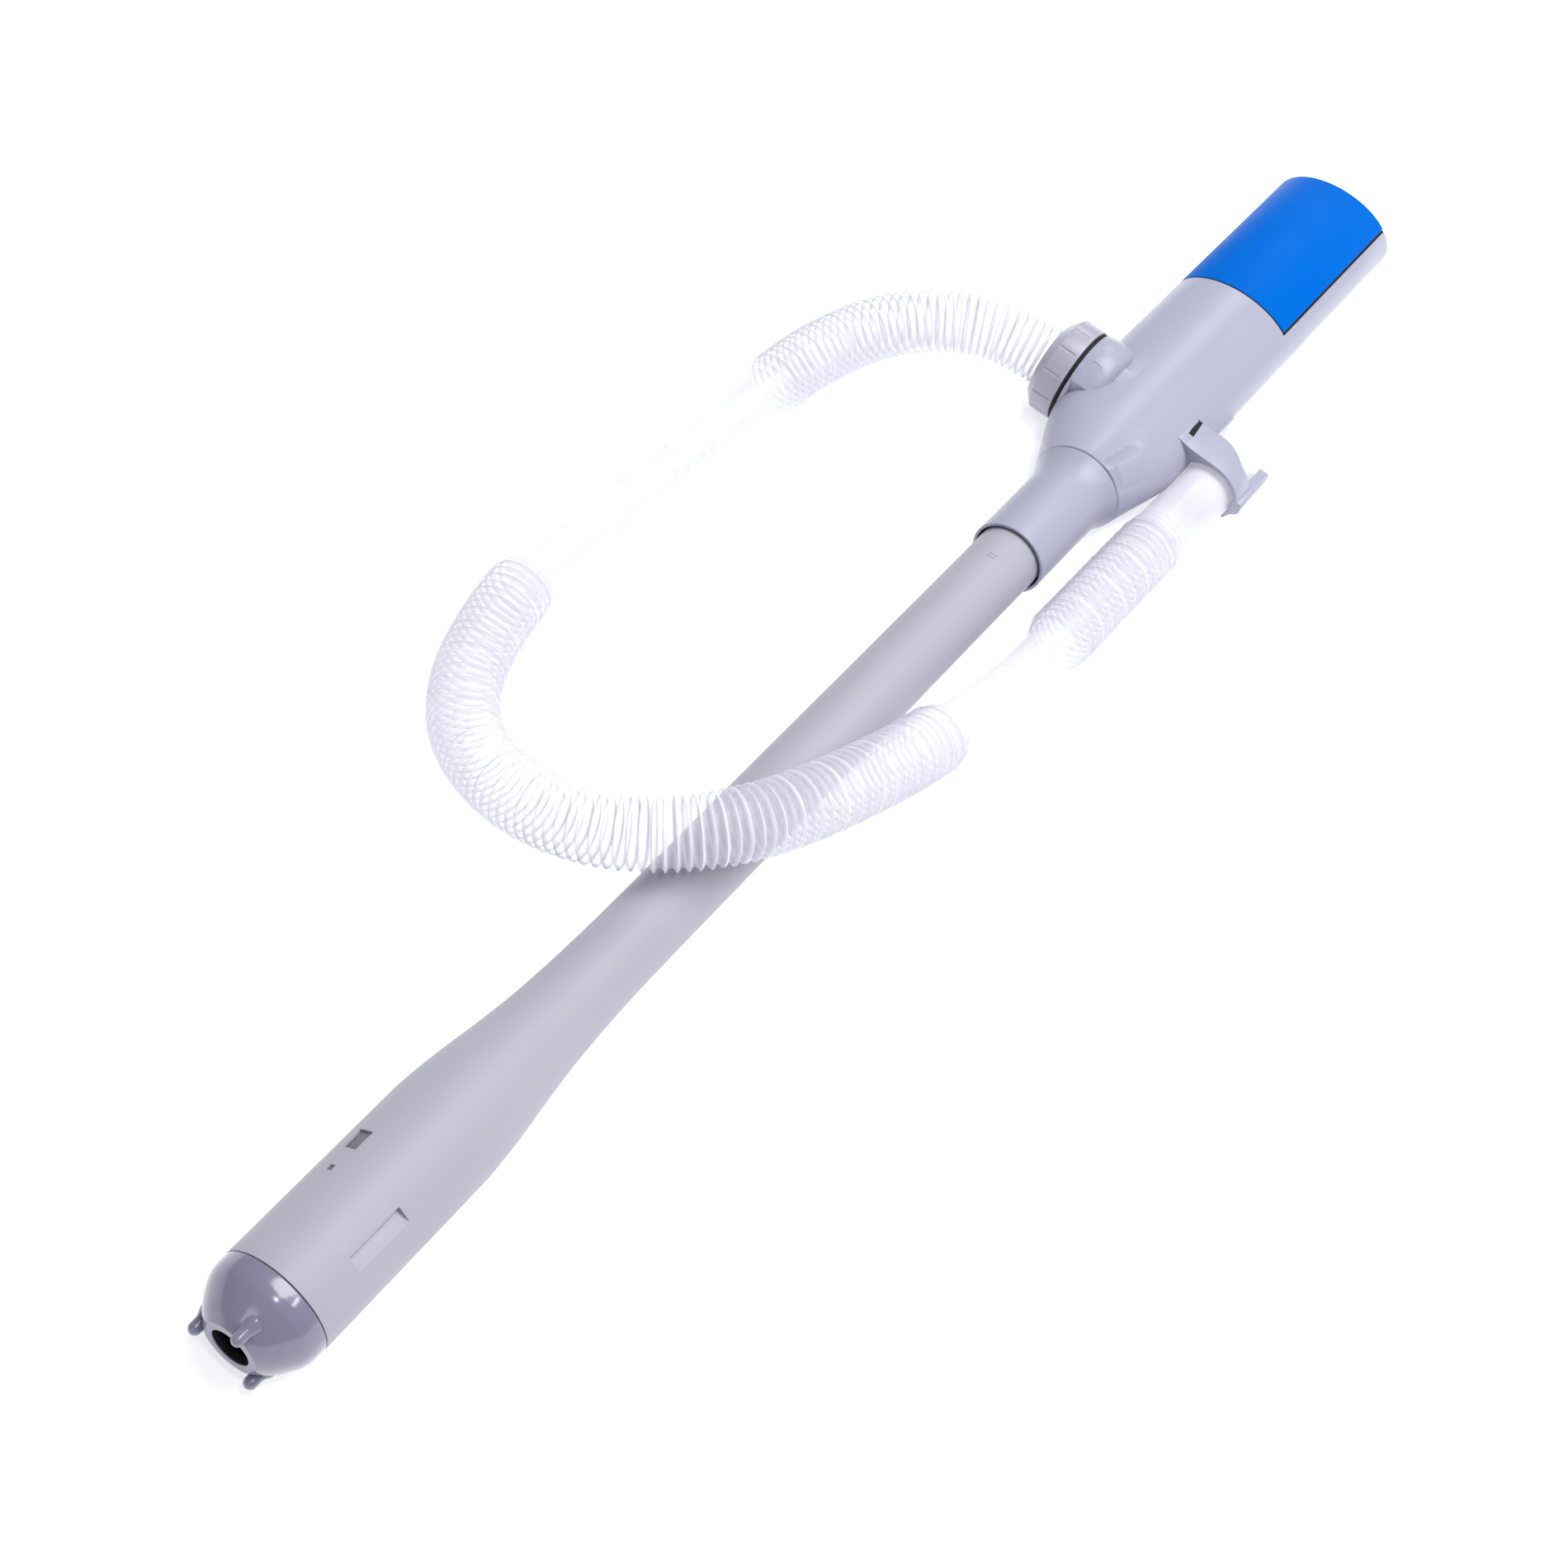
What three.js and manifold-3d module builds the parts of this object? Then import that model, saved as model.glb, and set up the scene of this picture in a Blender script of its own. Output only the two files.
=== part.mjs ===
// Battery liquid transfer pump: a submersible pump section in the nose, a long suction tube, a flat
// oval head with four AA cells, and a side outlet with a flexible hose whose end parks in a clip.
//
// Units are millimetres. +X runs along the pump from the nose to the head, +Y is the outlet side,
// +Z is up as the pump lies on a table. Everything except the hose is drawn about the pump axis
// (x = 0 near the intake) and the whole assembly is then moved so that z = 0 is the table and
// x = y = 0 is the middle of the pump.

import * as THREE from "three";
import { mergeVertices } from "three/addons/utils/BufferGeometryUtils.js";
import Module from "manifold-3d";

const wasm = await Module();
wasm.setup();

// ---------------------------------------------------------------- driving dimensions
const GAP = 0.3; // clearance between touching pieces
const ROUND = 40; // sides of an outer turned piece
const INNER_ROUND = 24; // sides of a turned piece inside
const SMALL_ROUND = 12; // sides of a small turned piece

const PUMP_R = 19; // pump section, 38 mm across
const PUMP_BORE_R = 16.8;
const TUBE_R = 12.58; // suction tube
const TUBE_BORE_R = 10.9;
const SEAM_X = 19.6; // nose cap meets the pump tube
const HOLE_R = 6.6; // intake hole
const PEG_TIP_X = -1;

const SOCKET_X = 402.9; // mouth of the socket that the tube plugs into
const SOCKET_R = 14.65;
const COLLAR_X = 452.2; // socket meets the head
const COLLAR_R = 17.8;

const HEAD_X = 481; // head reaches its full oval here
const HEAD_TOP_X = 667;
const HEAD_RY = 26.8; // half width and half thickness of the oval
const HEAD_RZ = 16.3;
const HEAD_CY = 1.85; // oval is a little off the tube axis, to the outlet side
const WALL = 2;

const COVER_X = 577; // lower edge of the battery cover
const COVER_WALL = 1.6;
const COVER_FROM_DEG = -12; // edges of the cover round the oval, from +Y over the top
const COVER_TO_DEG = 140.7;

const CELL_R = 7.2; // AA cells
const CELL_LENGTH = 50;
const CELL_PITCH = 15.2;
const CELL_X = 558.5;

const OUTLET_X = 502;
const NECK_R = 15.5;
const LOBE_R = 20.1; // rounded boss on the neck, on the side away from the nose
const LOBE_X = 494; // straight edge of the boss
const FLANGE_R = 19.3;
const FLANGE_Y = 29;
const NUT_Y = 30.6;
const NUT_R = 19.5;
const NUT_END_Y = 43;
const HOSE_BORE_R = 13.1;

const CLIP_X = 493;
const CLIP_LENGTH = 23;
const CLIP_Y = -35;
const CLIP_Z = -5.6;
const CLIP_R = 13.4;
const CLIP_WALL = 1.7;

const AXIS_Z = 19.5; // height of the pump axis over the table
const MID_X = 334; // middle of the pump's length and width, seen from above
const MID_Y = -4;

// Hose route over the table: centres of the hose, in the final frame.
const HOSE_ROUTE = [
  [168, 40.5, 19.5], [168, 52, 19.5], [164.6, 72.3, 18.4], [154.2, 90.2, 16], [138.4, 103.6, 13.9],
  [119, 111.4, 12.8], [98, 115.4, 12.6], [75, 117.4, 11.2], [48, 118.8, 9.6], [20, 119.8, 9.4],
  [-8, 121, 9.6], [-35, 121.5, 11], [-62, 120.5, 12.6], [-86, 116, 12.8], [-109, 107.5, 13.6],
  [-127, 93.5, 17], [-138, 75, 23], [-142.5, 54, 30], [-140, 32, 38], [-130, 13.5, 43.6],
  [-114, -1, 46.2], [-94, -10.5, 44.6], [-70, -17, 39.6], [-45, -21.8, 33.4], [-19, -25.2, 27],
  [8, -27.6, 21], [36, -28.8, 15.8], [64, -29.2, 13.2], [92, -29.4, 12.7], [120, -30, 12.9],
  [146, -30.7, 13.6], [168, -31, 13.9], [199, -31, 13.9],
];
const HOSE_R = 12.4; // ribbed stretches
const HOSE_PLAIN_R = 8.8; // plain stretches between them
const HOSE_CUFF_R = 11; // plain end
// Each stretch: share of the whole length where it ends, its radius and its number of steps.
const HOSE_STRETCHES = [
  [0.175, HOSE_R, 7], [0.353, HOSE_PLAIN_R, 7], [0.717, HOSE_R, 15], [0.812, HOSE_PLAIN_R, 4],
  [0.906, HOSE_R, 4], [1, HOSE_CUFF_R, 4],
];

// ---------------------------------------------------------------- materials
const plastic = (color, roughness) => new THREE.MeshStandardMaterial({ color, roughness, metalness: 0 });
const metal = (color, roughness) => new THREE.MeshStandardMaterial({ color, roughness, metalness: 1 });
const GREY = plastic(0xb9bacb, 0.38);
const TUBE_GREY = plastic(0xb7b6c2, 0.5);
const BLUE = plastic(0x0078e6, 0.4);
const CLEAR_WHITE = plastic(0xf2f2f6, 0.35);
const BLACK = plastic(0x16161a, 0.6);
const RED = plastic(0xb02020, 0.5);
const INNER_WHITE = plastic(0xe4e4e0, 0.5);
const STEEL = metal(0xb8bcc0, 0.3);
const CELL = plastic(0x2a5a44, 0.4);

// ---------------------------------------------------------------- solids
function toSolid(geometry) {
  const plain = geometry.index ? geometry.clone() : geometry;
  plain.deleteAttribute("normal");
  plain.deleteAttribute("uv");
  const merged = mergeVertices(plain, 1e-4);
  const vertProperties = new Float32Array(merged.attributes.position.array);
  const triVerts = new Uint32Array(merged.index.array);
  if (signedVolume(vertProperties, triVerts) < 0) {
    for (let i = 0; i < triVerts.length; i += 3) {
      [triVerts[i + 1], triVerts[i + 2]] = [triVerts[i + 2], triVerts[i + 1]];
    }
  }
  return new wasm.Manifold(new wasm.Mesh({ numProp: 3, vertProperties, triVerts }));
}

function signedVolume(points, triangles) {
  const corner = (i) => new THREE.Vector3().fromArray(points, 3 * i);
  let volume = 0;
  for (let i = 0; i < triangles.length; i += 3) {
    const [a, b, c] = [0, 1, 2].map((k) => corner(triangles[i + k]));
    volume += a.dot(b.cross(c)) / 6;
  }
  return volume;
}

function toGeometry(solid) {
  const mesh = solid.getMesh();
  const geometry = new THREE.BufferGeometry();
  geometry.setAttribute("position", new THREE.BufferAttribute(new Float32Array(mesh.vertProperties), 3));
  geometry.setIndex(new THREE.BufferAttribute(new Uint32Array(mesh.triVerts), 1));
  return geometry;
}

// A profile of [x, radius] turned about the X axis. It starts and ends on the axis, or closes.
function turned(profile, sides = ROUND) {
  const points = profile.map(([x, r]) => new THREE.Vector2(r, x));
  const onAxis = profile[0][1] === 0 && profile[profile.length - 1][1] === 0;
  if (!onAxis) points.push(points[0].clone());
  const geometry = new THREE.LatheGeometry(points, sides);
  geometry.applyMatrix4(new THREE.Matrix4().set(0, 1, 0, 0, 0, 0, 1, 0, 1, 0, 0, 0, 0, 0, 0, 1));
  return toSolid(geometry);
}

// The same, turned about a line along Y through x = OUTLET_X.
function turnedAboutOutlet(profile, sides = ROUND) {
  return turned(profile, sides).rotate([0, 0, 90]).translate([OUTLET_X, 0, 0]);
}

const disc = (x0, x1, r, sides = ROUND) => turned([[x0, 0], [x0, r], [x1, r], [x1, 0]], sides);
const ring = (x0, x1, inner, outer, sides = ROUND) =>
  turned([[x0, inner], [x0, outer], [x1, outer], [x1, inner]], sides);

function block(x0, x1, y0, y1, z0, z1) {
  const geometry = new THREE.BoxGeometry(x1 - x0, y1 - y0, z1 - z0);
  geometry.translate((x0 + x1) / 2, (y0 + y1) / 2, (z0 + z1) / 2);
  return toSolid(geometry);
}

// A stack of ovals along X: each station is [x, half width, half thickness, centre y].
function oval(stations, sides = 48) {
  const last = stations.length - 1;
  const profile = [[0, 0], ...stations.map((_, i) => [i, 1]), [last, 0]];
  const points = profile.map(([x, r]) => new THREE.Vector2(r, x));
  const geometry = new THREE.LatheGeometry(points, sides);
  const position = geometry.attributes.position;
  for (let i = 0; i < position.count; i += 1) {
    const [x, halfY, halfZ, centre] = stations[Math.round(position.getY(i))];
    position.setXYZ(i, x, centre + halfY * position.getZ(i), halfZ * position.getX(i));
  }
  return toSolid(geometry);
}

// A prism along X with the given outline of [y, z] points.
function prism(outline, x0, x1) {
  const shape = new THREE.Shape(outline.map(([y, z]) => new THREE.Vector2(y, z)));
  const geometry = new THREE.ExtrudeGeometry(shape, { depth: x1 - x0, bevelEnabled: false });
  geometry.applyMatrix4(new THREE.Matrix4().set(0, 0, 1, x0, 1, 0, 0, 0, 0, 1, 0, 0, 0, 0, 0, 1));
  return toSolid(geometry);
}

// A plate along Z with the given outline of [x, y] points.
function plate(outline, z0, z1) {
  const shape = new THREE.Shape(outline.map(([x, y]) => new THREE.Vector2(x, y)));
  const geometry = new THREE.ExtrudeGeometry(shape, { depth: z1 - z0, bevelEnabled: false });
  return toSolid(geometry).translate([0, 0, z0]);
}

const degrees = THREE.MathUtils.degToRad;

// Points on an oval about the head's centre line, between two angles from +Y towards +Z.
function ovalArc(halfY, halfZ, fromDeg, toDeg, steps) {
  return Array.from({ length: steps + 1 }, (_, i) => {
    const angle = degrees(fromDeg + ((toDeg - fromDeg) * i) / steps);
    return [HEAD_CY + halfY * Math.cos(angle), halfZ * Math.sin(angle)];
  });
}

const assembly = new THREE.Group();
assembly.position.set(-MID_X, -MID_Y, AXIS_Z);

function add(name, solid, material, parent = assembly) {
  const mesh = new THREE.Mesh(toGeometry(solid), material);
  mesh.name = name;
  parent.add(mesh);
}

// ---------------------------------------------------------------- nose
const NOSE_OUTER = [[1.8, 9.7], [4, 12.3], [7, 14.9], [10, 16.9], [12.5, 18.2], [15, 18.85], [17, PUMP_R]];
const SPIGOT_END_X = 27;
const SPIGOT_R = PUMP_BORE_R - GAP;

function noseCap() {
  const shell = turned([
    [1.8, HOLE_R], ...NOSE_OUTER, [SEAM_X - GAP, PUMP_R], [SEAM_X - GAP, SPIGOT_R],
    [SPIGOT_END_X, SPIGOT_R], [SPIGOT_END_X, 14.6], [15, 14.6], [8, 12], [4.6, HOLE_R],
  ]);
  const pegRadius = 1.9;
  const pegCircle = 12.2;
  let cap = shell;
  for (const angle of [104, 224, 344]) {
    const peg = turned([
      [PEG_TIP_X, 0], [PEG_TIP_X, 0.9], [PEG_TIP_X + 0.5, 1.5], [PEG_TIP_X + 1.2, pegRadius],
      [9, pegRadius], [9, 0],
    ], 12);
    const y = pegCircle * Math.cos(degrees(angle));
    const z = pegCircle * Math.sin(degrees(angle));
    cap = cap.add(peg.translate([0, y, z]));
  }
  const hollow = turned([[4.7, 0], [4.7, HOLE_R], [8.1, 12], [15, 14.6], [20, 14.6], [20, 0]]);
  return cap.subtract(hollow);
}

function intakeStrainer() {
  let plate = disc(21, 22.4, 14.2, INNER_ROUND);
  const hole = disc(20, 24, 1.7, 6);
  for (const [count, radius] of [[6, 4.6], [10, 9.8]]) {
    for (let i = 0; i < count; i += 1) {
      const angle = (2 * Math.PI * i) / count;
      plate = plate.subtract(hole.translate([0, radius * Math.cos(angle), radius * Math.sin(angle)]));
    }
  }
  return plate;
}

add("nose_cap", noseCap(), GREY);
add("intake_strainer", intakeStrainer(), BLACK);
add("nose_gasket", ring(SPIGOT_END_X + GAP, 28.4, 14.4, 16.5, INNER_ROUND), BLACK);

// ---------------------------------------------------------------- pump and motor
const LEDGE_X = 28.7; // step in the bore that the gasket seals on
const BORE_R = 16; // bore round the impeller and the motor
const MOTOR_R = 12;
const SHAFT_R = 1.15;
const FRONT_WALL_X = 41;

function impeller() {
  let wheel = disc(36.5, 38, 13, INNER_ROUND).add(disc(30.5, 37, 3.4, SMALL_ROUND));
  const blade = block(31, 37, 2.6, 12.6, -0.7, 0.7);
  for (let i = 0; i < 6; i += 1) wheel = wheel.add(blade.rotate([60 * i, 0, 0]));
  return wheel.subtract(disc(29, 40, SHAFT_R + GAP, SMALL_ROUND));
}

function impellerCover() {
  return turned([[29, 5.6], [29, 15.7], [38.6, 15.7], [38.6, 13.8], [30.1, 13.8], [30.1, 5.6]], INNER_ROUND)
    .subtract(block(33, 37, 12, 18, -4, 4));
}

function motorHousing() {
  let housing = turned([
    [FRONT_WALL_X, 2.4], [FRONT_WALL_X, MOTOR_R + 1.3], [88, MOTOR_R + 1.3], [88, MOTOR_R + GAP],
    [FRONT_WALL_X + 2.6, MOTOR_R + GAP], [FRONT_WALL_X + 2.6, 2.4],
  ], INNER_ROUND);
  const fin = block(FRONT_WALL_X + 2, 84, MOTOR_R + 0.8, BORE_R - 0.2, -0.8, 0.8);
  for (const angle of [0, 90, 180, 270]) housing = housing.add(fin.rotate([angle, 0, 0]));
  return housing;
}

function housingPlug() {
  const plug = turned([
    [82.5, 0], [82.5, MOTOR_R], [88 + GAP, MOTOR_R], [88 + GAP, MOTOR_R + 1.3], [89.6, MOTOR_R + 1.3],
    [92, 6], [92, 0],
  ], INNER_ROUND);
  return plug.subtract(leadHole(4)).subtract(leadHole(-4));
}

const motorCan = () => disc(47, 78, MOTOR_R, INNER_ROUND)
  .add(disc(44, 48, 3.2, SMALL_ROUND)).subtract(disc(43, 47, 1.6, SMALL_ROUND));
const leadHole = (y) => disc(70, 560, 1.3, 8).translate([0, y, 0]);
const lead = (y, x1) => disc(81.6, x1, 0.8, 8).translate([0, y, 0]);

add("impeller", impeller(), BLACK);
add("impeller_cover", impellerCover(), INNER_WHITE);
add("motor_shaft", disc(30.2, 46.6, SHAFT_R, SMALL_ROUND), STEEL);
add("shaft_seal", ring(41.3, 43.3, SHAFT_R + GAP, 2.1, SMALL_ROUND), BLACK);
add("motor_housing", motorHousing(), INNER_WHITE);
add("motor", motorCan(), STEEL);
add("motor_end_bell", disc(78.3, 81.2, 10.4, INNER_ROUND), BLACK);
add("housing_plug", housingPlug(), INNER_WHITE);

// ---------------------------------------------------------------- suction tube
const TAPER = [
  [90, PUMP_R], [96, 18.6], [104, 17.9], [112, 16.95], [120, 15.9], [128, 15], [136, 14.2],
  [145, 13.6], [156, 13.1], [170, 12.7], [188, TUBE_R],
];
const TUBE_END_X = 446;

function pumpTube() {
  const tube = turned([
    [SEAM_X, PUMP_BORE_R], [SEAM_X, PUMP_R], ...TAPER, [TUBE_END_X, TUBE_R], [TUBE_END_X, TUBE_BORE_R],
    [188, TUBE_BORE_R], [156, 11.5], [136, 12.4], [112, 15], [94, BORE_R], [LEDGE_X, BORE_R],
    [LEDGE_X, PUMP_BORE_R],
  ]);
  // A long pocket with a sloping floor: deep along its upper edge, running out at its lower edge.
  const pocket = prism([[-0.8, 17], [-0.8, 22], [-6.4, 22], [-6, 18.03]], 36.5, 57).rotate([30, 0, 0]);
  const latchPocket = block(62, 69.5, -3, 3, 17.4, 22).rotate([-42, 0, 0]);
  const mark = block(53, 55, -1.2, 1.2, 18.3, 22).rotate([-40, 0, 0]);
  return tube.subtract(pocket).subtract(latchPocket).subtract(mark);
}

add("pump_tube", pumpTube(), TUBE_GREY);

function tubeSocket() {
  return turned([
    [SOCKET_X, 13.5], [SOCKET_X, SOCKET_R], [441, SOCKET_R], [445.5, 15.3], [449, 16.5],
    [COLLAR_X - GAP, COLLAR_R], [COLLAR_X - GAP, 15.2], [456, 15.2], [456, 12], [447, 12], [447, 13.5],
  ]);
}

add("tube_socket", tubeSocket(), GREY);
add("tube_stop_ring", ring(430, 433, TUBE_R + GAP, 13.2, INNER_ROUND), BLACK);

// ---------------------------------------------------------------- head
const FLARE = [
  [COLLAR_X, COLLAR_R, COLLAR_R, 0], [455, 18.9, 17, 0.3], [460, 20.6, 16.6, 0.7], [466, 22.6, 16.4, 1.1],
  [472, 24.5, HEAD_RZ, 1.5], [477, 25.9, HEAD_RZ, 1.75], [HEAD_X, HEAD_RY, HEAD_RZ, HEAD_CY],
];
const END_WALL_X = 663.5;
const WET_END_X = 548; // liquid side ends here
const BAY_X = 552; // dry side: battery bay from here to the end wall

function headShell() {
  const outer = oval([...FLARE, [HEAD_TOP_X, HEAD_RY, HEAD_RZ, HEAD_CY]]);
  const neck = turnedAboutOutlet([
    [8, 0], [8, NECK_R], [26.4, NECK_R], [27.6, FLANGE_R], [FLANGE_Y, FLANGE_R], [FLANGE_Y, 0],
  ]);
  // The boss stops at a short step, and below that slopes into the head.
  const lobeHalf = plate([
    [LOBE_X, 30], [LOBE_X, 18.2], [LOBE_X - 8, 11.5], [LOBE_X - 8, -FLANGE_R],
    [OUTLET_X + 30, -FLANGE_R], [OUTLET_X + 30, 30],
  ], -40, 0).rotate([90, 0, 0]);
  const lobe = turnedAboutOutlet([
    [14.5, 0], [14.5, 13], [15.2, 16], [17, 18.4], [20.7, 19.8], [23.6, LOBE_R], [26, 19.9],
    [FLANGE_Y - 0.4, 19.5], [FLANGE_Y - 0.4, 0],
  ]).intersect(lobeHalf);
  const innerOval = (x) => [x, HEAD_RY - WALL, HEAD_RZ - WALL, HEAD_CY];
  const batteryBay = oval([innerOval(BAY_X), innerOval(HEAD_TOP_X + 1)]);
  const wetChamber = oval([
    [COLLAR_X - 1, 15.5, 15.5, 0], [456.5, 15.5, 15.5, 0], [457.5, 15.5, 14.4, 0.3], [470, 21, 14.2, 1],
    innerOval(HEAD_X), innerOval(WET_END_X),
  ]);
  const neckBore = turnedAboutOutlet([[0, 0], [0, 12], [40, 12], [40, 0]]);
  // The cover lies in a shallow recess, and the bay opens under it.
  const coverDepth = COVER_WALL + GAP;
  const fromDeg = COVER_FROM_DEG - 0.8;
  const toDeg = COVER_TO_DEG + 0.8;
  const recess = prism([
    ...ovalArc(HEAD_RY + 2, HEAD_RZ + 2, fromDeg, toDeg, 40),
    ...ovalArc(HEAD_RY - coverDepth, HEAD_RZ - coverDepth, fromDeg, toDeg, 40).reverse(),
  ], COVER_X - GAP, HEAD_TOP_X + 1);
  const window = prism([
    ...ovalArc(HEAD_RY + 2, HEAD_RZ + 2, 12, 134, 32),
    ...ovalArc(HEAD_RY - 6, HEAD_RZ - 6, 12, 134, 32).reverse(),
  ], COVER_X + 4, END_WALL_X - 3);
  return outer.add(neck).add(lobe)
    .subtract(wetChamber).subtract(batteryBay).subtract(neckBore)
    .subtract(recess).subtract(window).subtract(clipSlot())
    .subtract(leadHole(4)).subtract(leadHole(-4));
}

// Shallow pocket in the head's side wall beside the root of the hose clip.
function clipSlot() {
  return block(498.5, 507, -4, 1.4, 0, 6).translate([0, 0, 13]).rotate([64, 0, 0]).translate([0, -7.6, 0]);
}

function batteryCover() {
  return prism([
    ...ovalArc(HEAD_RY, HEAD_RZ, COVER_FROM_DEG, COVER_TO_DEG, 48),
    ...ovalArc(HEAD_RY - COVER_WALL, HEAD_RZ - COVER_WALL, COVER_FROM_DEG, COVER_TO_DEG, 48).reverse(),
  ], COVER_X, HEAD_TOP_X);
}

add("head_shell", headShell(), GREY);
add("battery_cover", batteryCover(), BLUE);

// ---------------------------------------------------------------- battery bay
const CELL_TIP = 1;
const rows = [["a", HEAD_CY - CELL_PITCH / 2], ["b", HEAD_CY + CELL_PITCH / 2]];

for (const [row, y] of rows) {
  for (const place of [1, 2]) {
    const x0 = CELL_X + (place - 1) * (CELL_LENGTH + CELL_TIP + GAP);
    const cell = turned([
      [x0, 0], [x0, CELL_R - 0.5], [x0 + 0.5, CELL_R], [x0 + CELL_LENGTH - 0.5, CELL_R],
      [x0 + CELL_LENGTH, CELL_R - 0.5], [x0 + CELL_LENGTH, 2.6], [x0 + CELL_LENGTH + CELL_TIP, 2.6],
      [x0 + CELL_LENGTH + CELL_TIP, 0],
    ], 16).translate([0, y, 0]);
    add(`battery_${row}${place}`, cell, CELL);
  }
}

function springContact(y) {
  const plate = block(555.3, 555.9, y - 6, y + 6, -6, 6);
  const spring = turned([[555.6, 0], [555.6, 4.6], [558.2, 2.8], [558.2, 0]], 16).translate([0, y, 0]);
  return plate.add(spring).subtract(leadHole(4)).subtract(leadHole(-4));
}

add("contact_spring_a", springContact(rows[0][1]), STEEL);
add("contact_spring_b", springContact(rows[1][1]), STEEL);
add("contact_bridge", block(661.2, 661.8, -12, 15.7, -5, 5), STEEL);

add("motor_lead_red", lead(4, 552.5), RED);
add("motor_lead_black", lead(-4, 552.5), BLACK);

// ---------------------------------------------------------------- end cap and switch
function endCap() {
  const inside = 0.4;
  const plug = oval([
    [END_WALL_X, HEAD_RY - WALL - inside, HEAD_RZ - WALL - inside, HEAD_CY],
    [HEAD_TOP_X, HEAD_RY - WALL - inside, HEAD_RZ - WALL - inside, HEAD_CY],
  ]);
  const switchWell = block(662, 668, HEAD_CY - 7, HEAD_CY + 7, -4, 4);
  let cap = plug.subtract(switchWell);
  for (const side of [-1, 1]) cap = cap.subtract(screwSpace(side));
  return cap;
}

const SCREW_OFFSET = 17;
const screwSpace = (side) => disc(660, 665.2, 1.5, 12).add(disc(665, 668, 2.9, 16))
  .translate([0, HEAD_CY + side * SCREW_OFFSET, 0]);

function endCapScrew(side) {
  const screw = disc(663.7, 665.6, 1.2, 12).add(disc(665.5, 666.8, 2.5, 16));
  const slotX = block(666.2, 668, -1.8, 1.8, -0.35, 0.35);
  const slotY = block(666.2, 668, -0.35, 0.35, -1.8, 1.8);
  return screw.subtract(slotX).subtract(slotY).translate([0, HEAD_CY + side * SCREW_OFFSET, 0]);
}

function switchBody() {
  return block(662.1, 666.6, HEAD_CY - 6.7, HEAD_CY + 6.7, -3.7, 3.7)
    .subtract(block(664.4, 668, HEAD_CY - 5.2, HEAD_CY + 5.2, -2.2, 2.2));
}

function switchKnob() {
  let knob = block(664.7, 667.6, HEAD_CY - 4.9, HEAD_CY - 0.6, -1.9, 1.9)
    .add(block(667.5, 669, HEAD_CY - 4.4, HEAD_CY - 1.1, -1.6, 1.6));
  for (const y of [HEAD_CY - 3.6, HEAD_CY - 2.4]) {
    knob = knob.subtract(block(668.6, 670, y, y + 0.5, -3, 3));
  }
  return knob;
}

add("end_cap", endCap(), GREY);
add("end_cap_screw_1", endCapScrew(-1), STEEL);
add("end_cap_screw_2", endCapScrew(1), STEEL);
add("switch_body", switchBody(), BLACK);
add("switch_knob", switchKnob(), BLACK);

// ---------------------------------------------------------------- outlet
add("outlet_gasket", turnedAboutOutlet([
  [29.3, 13.6], [29.3, 18.9], [30.3, 18.9], [30.3, 13.6],
], 32), BLACK);

add("hose_tail", turnedAboutOutlet([
  [NUT_Y, 7.2], [NUT_Y, 16.4], [33, 16.4], [33, 10.4], [34.4, 9.6], [34.4, 7.2],
], INNER_ROUND), INNER_WHITE);

function unionNut() {
  let nut = turnedAboutOutlet([
    [NUT_Y, 17], [NUT_Y, NUT_R], [39.4, NUT_R], [42, 16.6], [NUT_END_Y, 15.4], [NUT_END_Y, HOSE_BORE_R],
    [36.5, HOSE_BORE_R], [35.5, 17],
  ]);
  const groove = disc(NUT_Y + 1.6, 40.5, 0.9, 8).rotate([0, 0, 90]);
  const grooves = 12;
  const grooveCircle = NUT_R + 0.45;
  for (let i = 0; i < grooves; i += 1) {
    const angle = (2 * Math.PI * i) / grooves;
    nut = nut.subtract(groove.translate([
      OUTLET_X + grooveCircle * Math.cos(angle), 0, grooveCircle * Math.sin(angle),
    ]));
  }
  return nut;
}

add("union_nut", unionNut(), GREY);

// ---------------------------------------------------------------- hose clip
function hoseClip() {
  const arc = (r, fromDeg, toDeg, steps) => Array.from({ length: steps + 1 }, (_, i) => {
    const angle = degrees(fromDeg + ((toDeg - fromDeg) * i) / steps);
    return [CLIP_Y + r * Math.cos(angle), CLIP_Z + r * Math.sin(angle)];
  });
  // The free edge pinches in under the hose and carries a bar; the root spreads over the head's side.
  const barY = CLIP_Y - 16;
  const bar = [
    [barY + 4.5, -1.5], [barY + 4.6, -5.6], [barY + 4.8, -8.2], [barY + 5.4, -9.8], [barY + 4.4, -9.9],
    [barY + 2.8, -6.6], [barY + 0.8, -5.1], [barY, -4.2], [barY, -0.6], [barY + 0.8, 0.4],
  ];
  const root = [
    [-33, 9.7], [-28, 9.8], [-24, 10.05], [-21, 10.5], [-18.6, 11.1], [-17.4, 11.4], [-16, 9.8], [-20, 4],
  ];
  const outline = [...arc(CLIP_R, 36, 149, 20), ...bar, ...arc(CLIP_R + CLIP_WALL, 156, 98, 10), ...root];
  const band = prism(outline, CLIP_X, CLIP_X + CLIP_LENGTH);
  // The band narrows away from its root; the bar along its free edge keeps the full length.
  const trim = plate([
    [15, 0], [15.5, -33], [14, -36], [12, -39], [10.2, -42], [10, -52], [30, -52], [30, 0],
  ], 0.45, 30).translate([CLIP_X, 0, 0]);
  const slot = block(CLIP_X + 5, CLIP_X + 14, -21, -19.5, 0, 20);
  return band.subtract(trim).subtract(slot).subtract(oval([
    [480, HEAD_RY + GAP, HEAD_RZ + GAP, HEAD_CY], [530, HEAD_RY + GAP, HEAD_RZ + GAP, HEAD_CY],
  ]));
}

add("hose_clip", hoseClip(), GREY);

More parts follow.
